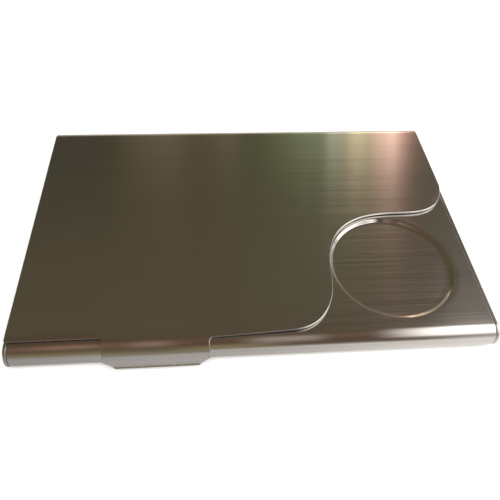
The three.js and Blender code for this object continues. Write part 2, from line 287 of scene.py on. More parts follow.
def add_sheet(mesh, outlines, mapping, t, r_out=0.12, r_in=0.08, points=None, seg=4, mats=(0, 1, 2), press=None, margin=0.25, flip_uv=False):
    """One closed sheet: outer face, rounded cut edge, inner face.
    outlines: the first counter-clockwise, then clockwise holes. mats: outer, edge, inner. press: (ab) -> drop, slope vector."""
    rings2, ring_m = [], []
    for k, poly in enumerate(outlines):
        m, mitre = outward(poly)
        rings2.append((poly, m, mitre))
    r = max(r_out, r_in)
    ring_ab = [p - m * (mi[:, None] * r) for p, m, mi in rings2]
    coords = [c for c in ring_ab]
    if points is not None and len(points):
        ok = inside(points, ring_ab[0])
        for h in ring_ab[1:]:
            ok &= ~inside(points, h)
        q = points[ok]
        if len(q):
            q = q[~near(q, np.vstack([dense(c, margin) for c in ring_ab]), margin)]
        coords.append(q)
    ab = np.vstack(coords)
    edges, start = [], 0
    for c in ring_ab:
        k = len(c)
        edges += [(start + i, start + (i + 1) % k) for i in range(k)]
        start += k
    vo, eo, fo, orig, _, _ = delaunay_2d_cdt([Vector(p) for p in ab], edges, [], 0, 1e-7)
    new = np.array([[p[0], p[1]] for p in vo])
    back = np.arange(len(vo))
    to_old = {}
    for i, o in enumerate(orig):
        for j in o:
            to_old[j] = i
    tri = np.array([f for f in fo if len(f) == 3], int)
    cen = new[tri].mean(1)
    ok = inside(cen, ring_ab[0])
    for h in ring_ab[1:]:
        ok &= ~inside(cen, h)
    tri = tri[ok]
    a, b, c = new[tri[:, 0]], new[tri[:, 1]], new[tri[:, 2]]
    area = (b[:, 0] - a[:, 0]) * (c[:, 1] - a[:, 1]) - (b[:, 1] - a[:, 1]) * (c[:, 0] - a[:, 0])
    tri = tri[np.abs(area) > 1e-9]
    area = area[np.abs(area) > 1e-9]
    tri[area < 0] = tri[area < 0][:, ::-1]

    def place(q, depth):
        P, Ta, Tb, N = mapping(q)
        if press is not None:
            drop, slope = press(q)
            P = P - N * drop[:, None]
            N2 = N + slope[:, 0][:, None] * Ta + slope[:, 1][:, None] * Tb
            N2 /= np.linalg.norm(N2, axis=1)[:, None]
            N = N2
        return P - N * depth, Ta, Tb, N

    def uvof(q):
        return q[:, ::-1].copy() if not flip_uv else q.copy()

    Po, _, _, No = place(new, 0.0)
    Pi, _, _, Ni = place(new, t)
    nv = len(new)
    verts, norms, uv = [Po, Pi], [No, -Ni], [uvof(new), uvof(new)]
    faces = [tuple(f) for f in tri] + [tuple(f[::-1] + nv) for f in tri]
    mm = [mats[0]] * len(tri) + [mats[2]] * len(tri)
    base = 2 * nv
    start = 0
    for (poly, m, mi), cab in zip(rings2, ring_ab):
        k = len(cab)
        idx = np.array([to_old[start + i] for i in range(k)])
        P0, Ta, Tb, N = place(cab, 0.0)
        M = m[:, 0][:, None] * Ta + m[:, 1][:, None] * Tb
        loops = [idx]
        angles = [(90 * (1 - (j + 1) / seg)) for j in range(seg)]
        for a_ in angles:
            c_, s_ = math.cos(rad(a_)), math.sin(rad(a_))
            verts.append(P0 - N * r_out + M * (mi[:, None] * (r * (c_ ** (1.0)))) * 1.0 + N * (r_out * s_))
            norms.append(c_ * M + s_ * N)
            uv.append(uvof(cab))
            loops.append(np.arange(base, base + k)); base += k
        for j in range(seg):
            a_ = -90 * j / seg
            c_, s_ = math.cos(rad(a_)), math.sin(rad(a_))
            verts.append(P0 - N * (t - r_in) + M * (mi[:, None] * (r * c_)) + N * (r_in * s_))
            norms.append(c_ * M + s_ * N)
            uv.append(uvof(cab))
            loops.append(np.arange(base, base + k)); base += k
        loops.append(idx + nv)
        for A, B in zip(loops[:-1], loops[1:]):
            for i in range(k):
                j = (i + 1) % k
                faces.append((A[j], A[i], B[i], B[j]))
                mm.append(mats[1])
        start += k
    mesh.add(np.vstack(verts), np.vstack(norms), np.vstack(uv), faces, mm)


def grid_points(xs, ys):
    X, Y = np.meshgrid(xs, ys)
    return np.c_[X.ravel(), Y.ravel()]


def add_lathe(mesh, profile, seg=56, mat=0, axis_y=HY, axis_z=HZ):
    """Closed profile of (radius, x) turned about the hinge axis. Corners in the profile are small arcs already."""
    p = np.array(profile, float)
    k = len(p)
    d = np.gradient(p, axis=0)
    # per-point normals, pointing away from the material, taken from both neighbours
    nrm = np.c_[d[:, 1], -d[:, 0]]
    nrm /= np.maximum(np.hypot(*nrm.T), 1e-9)[:, None]
    if ((p[:, 0] - p[:, 0].mean()) * nrm[:, 0]).sum() + ((p[:, 1] - p[:, 1].mean()) * nrm[:, 1]).sum() < 0:
        nrm = -nrm
        flip = True
    else:
        flip = False
    th = np.linspace(0, 2 * math.pi, seg, endpoint=False)
    V, N, U = [], [], []
    for a in th:
        V.append(np.c_[p[:, 1], axis_y + p[:, 0] * math.cos(a), axis_z + p[:, 0] * math.sin(a)])
        N.append(np.c_[nrm[:, 1], nrm[:, 0] * math.cos(a), nrm[:, 0] * math.sin(a)])
        U.append(np.c_[p[:, 0], np.full(k, a)])
    V, N, U = np.vstack(V), np.vstack(N), np.vstack(U)
    faces = []
    for i in range(seg):
        j = (i + 1) % seg
        for q in range(k - 1):
            a, b, c, d_ = i * k + q, i * k + q + 1, j * k + q + 1, j * k + q
            faces.append((a, b, c, d_) if flip else (d_, c, b, a))
    mesh.add(V, N, U, faces, [mat] * len(faces))


def soft_profile(corners, seg=5):
    """(radius, x, corner radius) corners joined with small arcs; ends on the axis stay."""
    pts = []
    n = len(corners)
    for i, (a, b, r) in enumerate(corners):
        if i in (0, n - 1) or r <= 0:
            pts.append((a, b))
            continue
        p, q, s = np.array([a, b]), np.array(corners[i - 1][:2]), np.array(corners[i + 1][:2])
        u, v = q - p, s - p
        lu, lv = np.hypot(*u), np.hypot(*v)
        u, v = u / lu, v / lv
        ang = math.acos(max(-1, min(1, float(u @ v))))
        d = min(r / math.tan(ang / 2), 0.45 * lu, 0.45 * lv)
        rr = d * math.tan(ang / 2)
        c = p + (u + v) / np.hypot(*(u + v)) * (rr / math.sin(ang / 2))
        s0, e0 = p + u * d - c, p + v * d - c
        a0, a1 = math.atan2(s0[1], s0[0]), math.atan2(e0[1], e0[0])
        da = (a1 - a0 + math.pi) % (2 * math.pi) - math.pi
        for k in range(seg + 1):
            t = a0 + da * k / seg
            pts.append(tuple(c + rr * np.array([math.cos(t), math.sin(t)])))
    return pts


# ------------------------------------------------------------------ materials
def node(nt, kind, x=0, y=0, **kw):
    n = nt.nodes.new(kind)
    n.location = (x, y)
    for k, v in kw.items():
        setattr(n, k, v)
    return n


def noise(nt, vec, scale, detail=2.0, rough=0.5, x=0, y=0):
    """Noise whose cell is stretched: scale is (x, y, z) in cells per metre."""
    m = node(nt, "ShaderNodeMapping", x - 200, y)
    m.inputs["Scale"].default_value = scale
    nt.links.new(vec, m.inputs["Vector"])
    t = node(nt, "ShaderNodeTexNoise", x, y)
    t.inputs["Scale"].default_value = 1.0
    t.inputs["Detail"].default_value = detail
    t.inputs["Roughness"].default_value = rough
    nt.links.new(m.outputs["Vector"], t.inputs["Vector"])
    return t.outputs["Fac"]


def mix_math(nt, op, a, b, x=0, y=0):
    n = node(nt, "ShaderNodeMath", x, y, operation=op)
    for i, v in enumerate((a, b)):
        if isinstance(v, (int, float)):
            n.inputs[i].default_value = v
        else:
            nt.links.new(v, n.inputs[i])
    return n.outputs[0]


def ramp(nt, fac, stops, x=0, y=0, mode="LINEAR"):
    n = node(nt, "ShaderNodeValToRGB", x, y)
    n.color_ramp.interpolation = mode
    e = n.color_ramp.elements
    while len(e) > 1:
        e.remove(e[-1])
    e[0].position, e[0].color = stops[0][0], (*stops[0][1], 1)
    for p, c in stops[1:]:
        k = e.new(p)
        k.color = (*c, 1)
    nt.links.new(fac, n.inputs["Fac"])
    return n.outputs["Color"]


def brushed(name, light, dark, rough=0.18, aniso=1.0, line=0.34, contrast=1.0, bump=0.25, rough_var=0.05, along="X"):
    """Sheet brushed along one axis: hairlines of three widths, drawn out along it, in tint, roughness and height.
    line is the width of the most visible hairlines in mm."""
    m = bpy.data.materials.new(name)
    m.use_nodes = True
    nt = m.node_tree
    bs = nt.nodes["Principled BSDF"]
    co = node(nt, "ShaderNodeTexCoord", -1400, 0).outputs["Object"]
    g = 1000.0 / line
    drawn = lambda a, b: (a, b, b) if along == "X" else (b, a, b)
    fine = noise(nt, co, drawn(24, 1.9 * g), 1.0, 0.5, -1000, 300)
    mid = noise(nt, co, drawn(11, g), 2.0, 0.6, -1000, 0)
    scratch = noise(nt, co, drawn(22, 1.7 * g), 0.0, 0.5, -1000, -300)
    cloud = noise(nt, co, (34, 26, 26), 3.0, 0.55, -1000, -600)
    # a few deeper scratches: only the tops of their own noise
    sc = node(nt, "ShaderNodeMapRange", -800, -300, interpolation_type="SMOOTHSTEP")
    sc.inputs["From Min"].default_value, sc.inputs["From Max"].default_value = 0.60, 0.74
    nt.links.new(scratch, sc.inputs["Value"])
    a = mix_math(nt, "MULTIPLY", fine, 0.56, -760, 300)
    b = mix_math(nt, "MULTIPLY_ADD", mid, 0.44, -760, 0)
    nt.links.new(a, b.node.inputs[2])
    c = mix_math(nt, "MULTIPLY_ADD", sc.outputs[0], 0.10, -560, 0)
    nt.links.new(b, c.node.inputs[2])
    w = 0.20 / contrast
    col = ramp(nt, c, [(0.5 - w, dark), (0.5 + w, light)], -300, 200)
    mixc = node(nt, "ShaderNodeMix", 0, 200, data_type="RGBA", blend_type="MULTIPLY")
    mixc.inputs["Factor"].default_value = 1.0
    cl = ramp(nt, cloud, [(0.3, (0.96, 0.96, 0.955)), (0.7, (1.0, 1.0, 1.0))], -300, -100)
    nt.links.new(col, mixc.inputs["A"])
    nt.links.new(cl, mixc.inputs["B"])
    nt.links.new(mixc.outputs["Result"], bs.inputs["Base Color"])
    rg = node(nt, "ShaderNodeMapRange", -300, -350)
    rg.inputs["From Min"].default_value, rg.inputs["From Max"].default_value = 0.3, 0.7
    rg.inputs["To Min"].default_value, rg.inputs["To Max"].default_value = rough - rough_var, rough + rough_var
    nt.links.new(c, rg.inputs["Value"])
    nt.links.new(rg.outputs["Result"], bs.inputs["Roughness"])
    bs.inputs["Metallic"].default_value = 1.0
    bs.inputs["Anisotropic"].default_value = aniso
    tg = node(nt, "ShaderNodeTangent", -300, -800, direction_type="UV_MAP", uv_map="brush")
    nt.links.new(tg.outputs["Tangent"], bs.inputs["Tangent"])
    bp = node(nt, "ShaderNodeBump", -100, -600)
    bp.inputs["Strength"].default_value = bump
    bp.inputs["Distance"].default_value = 0.000008
    nt.links.new(c, bp.inputs["Height"])
    nt.links.new(bp.outputs["Normal"], bs.inputs["Normal"])
    return m


def grained(name, light, dark, rough=0.3, scale=2500, bump=0.1, aniso=0.0, stretch=(1, 1, 1), dist=0.00001, painted_shade_x=None):
    """Fine even grain: a stamped edge, a mill-finished inside or a turned head.
    The last argument (x from, x to, factor) scales the base colour down below x, in mm: painted shade and a painted
    darker reflection on the edge."""
    m = bpy.data.materials.new(name)
    m.use_nodes = True
    nt = m.node_tree
    bs = nt.nodes["Principled BSDF"]
    co = node(nt, "ShaderNodeTexCoord", -1400, 0).outputs["Object"]
    g = noise(nt, co, tuple(scale * k for k in stretch), 4.0, 0.6, -1000, 200)
    w = noise(nt, co, (120, 120, 120), 2.0, 0.5, -1000, -200)
    a = mix_math(nt, "MULTIPLY", g, 0.65, -760, 200)
    c = mix_math(nt, "MULTIPLY_ADD", w, 0.35, -560, 0)
    nt.links.new(a, c.node.inputs[2])
    col = ramp(nt, c, [(0.32, dark), (0.68, light)], -300, 200)
    # painted shade: the colour is scaled down towards the low-x end
    if painted_shade_x:
        sx = node(nt, "ShaderNodeSeparateXYZ", -900, 600)
        nt.links.new(co, sx.inputs[0])
        dr = node(nt, "ShaderNodeMapRange", -700, 600, interpolation_type="SMOOTHSTEP")
        dr.inputs["From Min"].default_value, dr.inputs["From Max"].default_value = painted_shade_x[0] * 1e-3, painted_shade_x[1] * 1e-3
        dr.inputs["To Min"].default_value, dr.inputs["To Max"].default_value = painted_shade_x[2], 1.0
        nt.links.new(sx.outputs["X"], dr.inputs["Value"])
        dv = node(nt, "ShaderNodeVectorMath", -200, 500, operation="SCALE")
        nt.links.new(col, dv.inputs[0]); nt.links.new(dr.outputs[0], dv.inputs["Scale"])
        col = dv.outputs[0]
    nt.links.new(col, bs.inputs["Base Color"])
    rg = node(nt, "ShaderNodeMapRange", -300, -350)
    rg.inputs["From Min"].default_value, rg.inputs["From Max"].default_value = 0.3, 0.7
    rg.inputs["To Min"].default_value, rg.inputs["To Max"].default_value = rough - 0.05, rough + 0.06
    nt.links.new(c, rg.inputs["Value"])
    nt.links.new(rg.outputs["Result"], bs.inputs["Roughness"])
    bs.inputs["Metallic"].default_value = 1.0
    if aniso:
        bs.inputs["Anisotropic"].default_value = aniso
        tg = node(nt, "ShaderNodeTangent", -300, -800, direction_type="UV_MAP", uv_map="brush")
        nt.links.new(tg.outputs["Tangent"], bs.inputs["Tangent"])
    bp = node(nt, "ShaderNodeBump", -100, -600)
    bp.inputs["Strength"].default_value = bump
    bp.inputs["Distance"].default_value = dist
    nt.links.new(g, bp.inputs["Height"])
    nt.links.new(bp.outputs["Normal"], bs.inputs["Normal"])
    return m


lid_out = brushed("lid_brushed", (0.625, 0.60, 0.580), (0.50, 0.48, 0.465), rough=0.135, line=0.24, contrast=0.55, bump=0.06, rough_var=0.02)
base_out = brushed("base_brushed", (0.675, 0.645, 0.62), (0.475, 0.455, 0.435), rough=0.125, line=0.27, contrast=0.72, bump=0.04, rough_var=0.018)
# cut edges left of x = 14 mm are painted darker, down to 0.52 below 5.5 mm: painted shade and a painted darker
# reflection under the lid's front and tab edges
cut_edge = grained("cut_edge", (0.84, 0.83, 0.80), (0.72, 0.71, 0.69), rough=0.28, scale=6000, bump=0.15, painted_shade_x=(5.5, 14.0, 0.52))
mill = grained("mill_inside", (0.56, 0.555, 0.545), (0.47, 0.465, 0.455), rough=0.34, scale=1800, bump=0.12, stretch=(0.25, 1, 1))
frame_mat = brushed("frame_satin", (0.42, 0.41, 0.395), (0.31, 0.30, 0.29), rough=0.26, line=0.22, contrast=0.8, bump=0.12, along="Y")
frame_edge = grained("frame_rim", (0.60, 0.59, 0.575), (0.49, 0.48, 0.47), rough=0.30, scale=3000, bump=0.10)
pin_mat = grained("turned_pin", (0.72, 0.715, 0.70), (0.62, 0.615, 0.60), rough=0.20, scale=4200, bump=0.08)
washer_mat = grained("washer_steel", (0.66, 0.655, 0.64), (0.56, 0.555, 0.54), rough=0.26, scale=3600, bump=0.08)
ear_mat = grained("ear_steel", (0.50, 0.495, 0.485), (0.41, 0.405, 0.395), rough=0.32, scale=2200, bump=0.12)
spring_mat = grained("spring_strip", (0.62, 0.625, 0.63), (0.52, 0.525, 0.53), rough=0.22, scale=2000, bump=0.10, stretch=(1, 0.12, 1))


# ------------------------------------------------------------------ S-shaped cut edge and the base's hidden edge
s_pts, s_tan = spline(S_CURVE, 190)
lid_pts, lid_tan = spline(FRONT_EDGE + S_CURVE, 230)
strip_edge = s_pts + np.c_[-s_tan[:, 1], s_tan[:, 0]] * STRIP_UNDERLAP
strip_edge = strip_edge[strip_edge[:, 0] < SHELL_END - 0.6][::2]


# ------------------------------------------------------------------ lid
def make_lid():
    tab_r = FRONT_R + LID_GAP + LID_T
    lip_turn, lip_r, lip_len = 40.0, 0.5, 0.33
    z0 = 1.30
    y_out = FY - tab_r - (lip_r * (1 - math.cos(rad(lip_turn))) + lip_len * math.sin(rad(lip_turn)))
    rise = lip_len * math.cos(rad(lip_turn)) + lip_r * math.sin(rad(lip_turn))
    prof = Profile(y_out, z0, 90 - lip_turn, [
        ("L", lip_len), ("A", lip_r, lip_turn), ("L", FZ - z0 - rise), ("A", tab_r, -90.0),
        ("L", HY - FY), ("A", REAR_R, -(90.0 + REAR_WRAP))])
    s_front = prof.parts[4][0]          # s where the flat begins, y = FY
    S = lambda y: s_front + (y - FY)
    end = prof.length
    cut = 2.1                            # the tab's corner chamfer
    # tab bottom, then along the front edge, S-curve, right end, rear lip, left end, front edge
    curve = [(x, S(y)) for x, y in lid_pts]
    low = curve[0][1]
    f = TAB_FILLET
    tab = rounded([(TAB_X[0] - 6, s_front, 0), (TAB_X[0], s_front, 0.6), (TAB_X[0], cut, 0.7), (TAB_X[0] + cut, 0.0, 0.5),
                   (TAB_X[1] - cut, 0.0, 0.5), (TAB_X[1], cut, 0.7), (TAB_X[1], low, f), (TAB_X[1] + 6, low, 0)], 8)
    tab = tab[1:-1]
    pts = list(map(tuple, tab))
    tip = curve[-1]
    body = curve[1:-4]
    # the pointed end of the cut is blunted, then the right-hand edge
    right = rounded([(curve[-5][0], curve[-5][1], 0), (LW - 0.02, tip[1] + 0.3, 0.5), (LW, tip[1] + 6, 0), (LW, end, 0.6), (-LW, end, 0.6),
                     (-LW, s_front, 0.5), (TAB_X[0] - 1.0, s_front, 0)], 6)
    poly = np.array(pts + body + list(map(tuple, right)))
    keep = [0]
    for i in range(1, len(poly)):
        if np.hypot(*(poly[i] - poly[keep[-1]])) > 0.03:
            keep.append(i)
    poly = dense(poly[keep], 1.6)
    # lines across the sheet at every bend line keep the rolls round along their free ends
    rows = prof.rows(2.4, 5.0)
    poly = split_at_rows(poly, rows)
    flat = (rows > s_front + 0.3) & (rows < S(HY) - 0.3)
    pts_in = np.vstack([grid_points(np.arange(-LW + 1.2, LW - 1, 2.5), rows[flat]),
                        grid_points(np.arange(-LW + 0.6, LW - 0.4, 0.7), rows[~flat])])
    # left of the tab the free front edge is eased down towards the roll
    near_edge = grid_points(np.arange(-LW + 1.2, TAB_X[0] + 1.5, 1.0), s_front + np.array([0.35, 0.6, 0.85, 1.1, 1.35, 1.6]))
    pts_in = np.vstack([pts_in, near_edge])

    def press(q):
        e = np.clip((q[:, 1] - s_front) / 1.7, 0, 1)
        w = np.clip((TAB_X[0] - 0.2 - q[:, 0]) / 1.2, 0, 1) * (q[:, 1] < s_front + 2)
        w = w * w * (3 - 2 * w)
        t = 0.17 * w * (1 - e) ** 2
        return t, np.c_[np.zeros(len(q)), -2 * 0.17 * w * (1 - e) / 1.7]

    mesh = Mesh()
    add_sheet(mesh, [poly], bent(prof), LID_T, 0.11, 0.08, pts_in, margin=0.22, press=press)
    o = mesh.to_object("lid_shell_sheet", [lid_out, cut_edge, mill])
    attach(o, "lid"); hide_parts("lid_shell")
    return o


def split_at_rows(poly, rows):
    """Adds a point wherever a side of the outline crosses one of the rows."""
    out, n = [], len(poly)
    for i in range(n):
        a, b = poly[i], poly[(i + 1) % n]
        out.append(a)
        lo, hi = min(a[1], b[1]), max(a[1], b[1])
        rs = rows[(rows > lo + 0.03) & (rows < hi - 0.03)]
        if b[1] < a[1]:
            rs = rs[::-1]
        for r in rs:
            t = (r - a[1]) / (b[1] - a[1])
            out.append(a + (b - a) * t)
    return np.array(out)


# ------------------------------------------------------------------ base
def make_base():
    rear_y = 27.3
    prof = Profile(rear_y, 0.0, 180.0, [("L", rear_y - FY), ("A", FRONT_R, -180.0), ("L", 20 - FY)])
    s_top = prof.parts[2][0]
    S = lambda y: s_top + (y - FY)
    se = SHELL_END
    stops = [(-40.6, -19.4), (19.4, 40.6)]
    notch = rear_y - 25.0
    low = [(-se, 0.0, 0.5)]
    for a, b in stops:
        low += [(a, 0.0, 0.3), (a, notch, 0.2), (b, notch, 0.2), (b, 0.0, 0.3)]
    low += [(se, 0.0, 0.5)]
    last = strip_edge[-1]
    right_y = last[1] + 2.2
    # corners have to be rounded as one ring, so the curved edge joins in as unrounded points
    ring = [(x, s, r) for x, s, r in low] + [(se, S(right_y), 1.2)]
    ring += [(x, S(y), 0) for x, y in strip_edge[::-1]]
    ring += [(-se, S(FY + STRIP_UNDERLAP), 0.8)]
    poly = rounded(ring, 6)
    keep = [0]
    for i in range(1, len(poly)):
        if np.hypot(*(poly[i] - poly[keep[-1]])) > 0.03:
            keep.append(i)
    poly = dense(poly[keep], 1.8)
    rows = prof.rows(2.6, 5.0)
    rows = rows[rows < S(12.0)]
    poly = split_at_rows(poly, rows)
    cx, cy = RECESS_C
    cs = S(cy)
    # wall slope against distance: a slight dish outside the rim, a rounded rim, the wall, a rounded foot
    r1, r0 = RECESS_R, RECESS_R - RECESS_WALL
    out_w, in_w = 1.35, 0.9
    rr = np.linspace(r0 - in_w, r1 + out_w, 1200)
    step = rr[1] - rr[0]

    def wall(lip, foot):
        """Drop and slope at the radii rr; lip is the slope of the dish where it meets the rim, foot the wall's inner radius."""
        on_wall = (rr >= foot) & (rr <= r1)
        dish = np.where(rr > r1, np.clip((r1 + out_w - rr) / out_w, 0, 1) ** 2, np.clip((rr - (r0 - in_w)) / (foot - r0 + in_w), 0, 1) ** 2) * lip
        q = np.clip(np.minimum((r1 - rr) / 0.30, (rr - foot) / 0.26), 0, 1)
        q = q * q * (3 - 2 * q) * on_wall
        base_ = np.where(on_wall, lip, dish)
        slope = base_ + q * (RECESS_DEPTH - base_.sum() * step) / (q.sum() * step)
        return np.cumsum(slope[::-1])[::-1] * step, slope

    walls = [wall(0.04, r0 + 0.20), wall(0.24, r0)]          # all round, and the softer shoulder towards the case's end

    def press(q):
        """Drop of the sheet at q and the tilt that its normal takes."""
        dx, ds = q[:, 0] - cx, q[:, 1] - cs
        r = np.maximum(np.hypot(dx, ds), 1e-6)
        w, w2 = np.clip((dx / r - 0.10) / 0.65, 0, 1), np.clip((ds / r + 0.80) / 0.55, 0, 1)
        w = w * w * (3 - 2 * w) * w2 * w2 * (3 - 2 * w2)
        t = [np.interp(r, rr, k[0], left=RECESS_DEPTH, right=0.0) for k in walls]
        g = [np.interp(r, rr, k[1], left=0.0, right=0.0) for k in walls]
        t, g = t[0] + (t[1] - t[0]) * w, g[0] + (g[1] - g[0]) * w
        # the strip eases down a little before it turns into the roll
        e = np.clip((q[:, 1] - (s_top - 2.4)) / 4.0, 0, 1)
        t = t + EASE * (1 - e * e * (3 - 2 * e)) * np.clip((q[:, 1] - s_top + 8.9) / 4.0, 0, 1)
        ease = EASE * 6 * e * (1 - e) / 4.0
        # the drop falls off outwards, so the normal leans inwards
        return t, np.c_[-g * dx / r, -g * ds / r - ease]

    roll = (rows > prof.parts[1][0] - 0.1) & (rows < s_top + 0.1)
    pts = np.vstack([grid_points(np.arange(-se + 1.4, se - 1, 2.6), rows[~roll]), grid_points(np.arange(-se + 0.6, se - 0.4, 0.65), rows[roll])])
    d = np.hypot(pts[:, 0] - cx, pts[:, 1] - cs)
    pts = pts[(d > r1 + out_w + 0.4) | (d < r0 - in_w - 0.5)]
    radii = np.r_[r0 - in_w - 0.05, r0 - in_w + 0.2, r0 - 0.6, r0 - 0.35, r0 - 0.15, np.linspace(r0, r0 + 0.26, 7), np.linspace(r0 + 0.26, r1 - 0.30, 5)[1:-1],
                  np.linspace(r1 - 0.30, r1, 7), r1 + 0.12, r1 + 0.3, r1 + 0.55, r1 + 0.85, r1 + out_w, r1 + out_w + 0.25]
    th = np.linspace(0, 2 * math.pi, 192, endpoint=False)
    rings = np.vstack([np.c_[cx + r * np.cos(th), cs + r * np.sin(th)] for r in radii])
    pts = np.vstack([pts, rings])
    mesh = Mesh()
    add_sheet(mesh, [poly], bent(prof), BASE_T, 0.15, 0.08, pts, margin=0.24, press=press)
    # upturned card stops
    for a, b in stops:
        sp = Profile(24.4, BASE_T + 0.004, 0.0, [("L", 0.6), ("A", 0.3, 90.0), ("L", 3.894)])
        L = sp.length
        sq = rounded([(a + 0.6, 0.0, 0.0), (b - 0.6, 0.0, 0.0), (b - 0.6, L, 1.0), (a + 0.6, L, 1.0)], 8)
        sq = split_at_rows(dense(sq, 1.8), sp.rows(1.5, 12))
        add_sheet(mesh, [sq], bent(sp), BASE_T, 0.08, 0.08, grid_points(np.arange(a + 1.2, b - 1, 2.5), sp.rows(1.5, 12)),
                  mats=(2, 1, 2))
    o = mesh.to_object("base_shell_sheet", [base_out, cut_edge, mill])
    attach(o, "base"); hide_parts("base_shell")
    return o


def arc_pts(cx, cy, r, a0, a1, n):
    t = np.radians(np.linspace(a0, a1, n + 1))
    return np.c_[cx + r * np.cos(t), cy + r * np.sin(t)]


def circle_hole(cx, cy, r, n=40):
    t = -np.linspace(0, 2 * math.pi, n, endpoint=False)
    return np.c_[cx + r * np.cos(t), cy + r * np.sin(t)]


# ------------------------------------------------------------------ end frames
def make_frame(side):
    name = "right_end_frame" if side > 0 else "left_end_frame"
    disc, clear, neck, rear = 2.47, 3.45, 0.2, 27.3
    gap = math.degrees(math.asin(neck / disc))
    tip_z = HZ - math.sqrt(clear ** 2 - (HY - rear) ** 2)
    a_tip = math.degrees(math.atan2(tip_z - HZ, rear - HY))
    front = arc_pts(FY, FZ, FRONT_R, -90, -270, 40)
    disc_arc = arc_pts(HY, HZ, disc, 90, -180 - gap, 56)
    throat = arc_pts(HY, HZ, clear, -180, a_tip, 16)
    poly = np.vstack([front, disc_arc, [[HY - clear, HZ + neck]], throat, [[rear, 0.0]]])[::-1]
    # round the sharp inner and outer corners a little
    c3 = []
    for i, p in enumerate(poly):
        a, b = poly[i - 1], poly[(i + 1) % len(poly)]
        u, v = p - a, b - p
        ang = abs(math.degrees(math.atan2(u[0] * v[1] - u[1] * v[0], u @ v)))
        c3.append((p[0], p[1], 0.3 if ang > 25 else 0.0))
    poly = rounded(c3, 5)
    keep = [0]
    for i in range(1, len(poly)):
        if np.hypot(*(poly[i] - poly[keep[-1]])) > 0.02:
            keep.append(i)
    poly = dense(poly[keep], 2.0)
    hole = circle_hole(HY, HZ, 1.40)
    if side < 0:
        poly = (poly * [-1, 1])[::-1]
        hole = (hole * [-1, 1])[::-1]
    mesh = Mesh()
    add_sheet(mesh, [poly, hole], flat_x(side * HW, side), FRAME_T, 0.16, 0.08, None, mats=(0, 1, 2), seg=5)
    # spot-weld flange: a strip on the base plate, bent up into the wall
    pr = 0.25
    y0, y1 = FY + 2.0, 22.8
    z = BASE_T + JOINT_GAP + 0.4
    sq = rounded([(FRAME_IN - 1.5, y0, 0.5), (FRAME_IN + 0.1, y0, 0.0), (FRAME_IN + 0.1, y1, 0.0), (FRAME_IN - 1.5, y1, 0.5)], 6)
    if side < 0:
        sq = (sq * [-1, 1])[::-1]
    add_sheet(mesh, [dense(sq, 3.0)], flat_z(z, 1), 0.4, 0.08, 0.05, None, mats=(2, 1, 2))
    # inner bend radius between flange and wall
    pf = [("A", pr, 90.0)]
    n = 8
    ys = np.array([y0 + 0.5, y1 - 0.5])
    V, N, F = [], [], []
    for yy in ys:
        for k in range(n + 1):
            a = rad(90.0 * k / n)
            V.append([side * (FRAME_IN + 0.02 - pr + pr * math.sin(a)), yy, z + pr - pr * math.cos(a) - 0.01])
            N.append([-side * math.sin(a), 0, math.cos(a)])
    V, N = np.array(V), np.array(N)
    F = [((k, k + 1, n + 2 + k, n + 1 + k) if side < 0 else (k + 1, k, n + 1 + k, n + 2 + k)) for k in range(n)]
    # closed with a hidden back so that the fillet is a solid sliver
    Vb = np.array([[side * (FRAME_IN + 0.06), yy, z - 0.05] for yy in ys])
    V = np.vstack([V, Vb]); N = np.vstack([N, [[0, -1, 0], [0, 1, 0]]])
    b0, b1 = 2 * (n + 1), 2 * (n + 1) + 1
    for k in range(n):
        F.append((k, k + 1, b0) if side > 0 else (k + 1, k, b0))
        F.append((n + 1 + k + 1, n + 1 + k, b1) if side > 0 else (n + 1 + k, n + 1 + k + 1, b1))
    F.append((n, 2 * n + 1, b1, b0) if side > 0 else (2 * n + 1, n, b0, b1))
    F.append((n + 1, 0, b0, b1) if side > 0 else (0, n + 1, b1, b0))
    mesh.add(V, N, V[:, :2], F, [2] * len(F))
    o = mesh.to_object(name + "_plate", [frame_mat, frame_edge, mill])
    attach(o, "base"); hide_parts(name)
    return o


# ------------------------------------------------------------------ hinge pieces
PIN_R, PIN_HEAD_R = 0.8, 1.35
EAR_X, EAR_T, EAR_R = 46.65, 0.8, 2.55
EAR_IN = EAR_X - EAR_T


def make_pin(side):
    name = "right_hinge_pin" if side > 0 else "left_hinge_pin"
    inner = EAR_IN - JOINT_GAP
    prof = [(0, inner - 0.50, 0), (0.85, inner - 0.50, 0.25), (1.25, inner - 0.34, 0.2), (1.35, inner - 0.1, 0.1), (1.33, inner, 0.03),
            (PIN_R, inner, 0.03), (PIN_R, HW - 0.42, 0.05), (PIN_HEAD_R - 0.02, HW - 0.05, 0.06), (PIN_HEAD_R - 0.14, HW - 0.012, 0.1), (0, HW - 0.002, 0)]
    pts = soft_profile(prof, 4)
    mesh = Mesh()
    add_lathe(mesh, [(r, x * side) for r, x in pts], 56)
    o = mesh.to_object(name + "_rivet", [pin_mat])
    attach(o, "base"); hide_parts(name)


def make_washer(side):
    name = "right_hinge_washer" if side > 0 else "left_hinge_washer"
    a, b = EAR_X + JOINT_GAP, FRAME_IN - JOINT_GAP
    r0, r1 = PIN_R + 0.06, 1.95
    prof = soft_profile([(r0, (a + b) / 2, 0), (r0, a, 0.06), (r1, a, 0.14), (r1, b, 0.14), (r0, b, 0.06), (r0, (a + b) / 2, 0)], 4)
    mesh = Mesh()
    add_lathe(mesh, [(r, x * side) for r, x in prof], 56)
    o = mesh.to_object(name + "_ring", [washer_mat])
    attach(o, "base"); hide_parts(name)


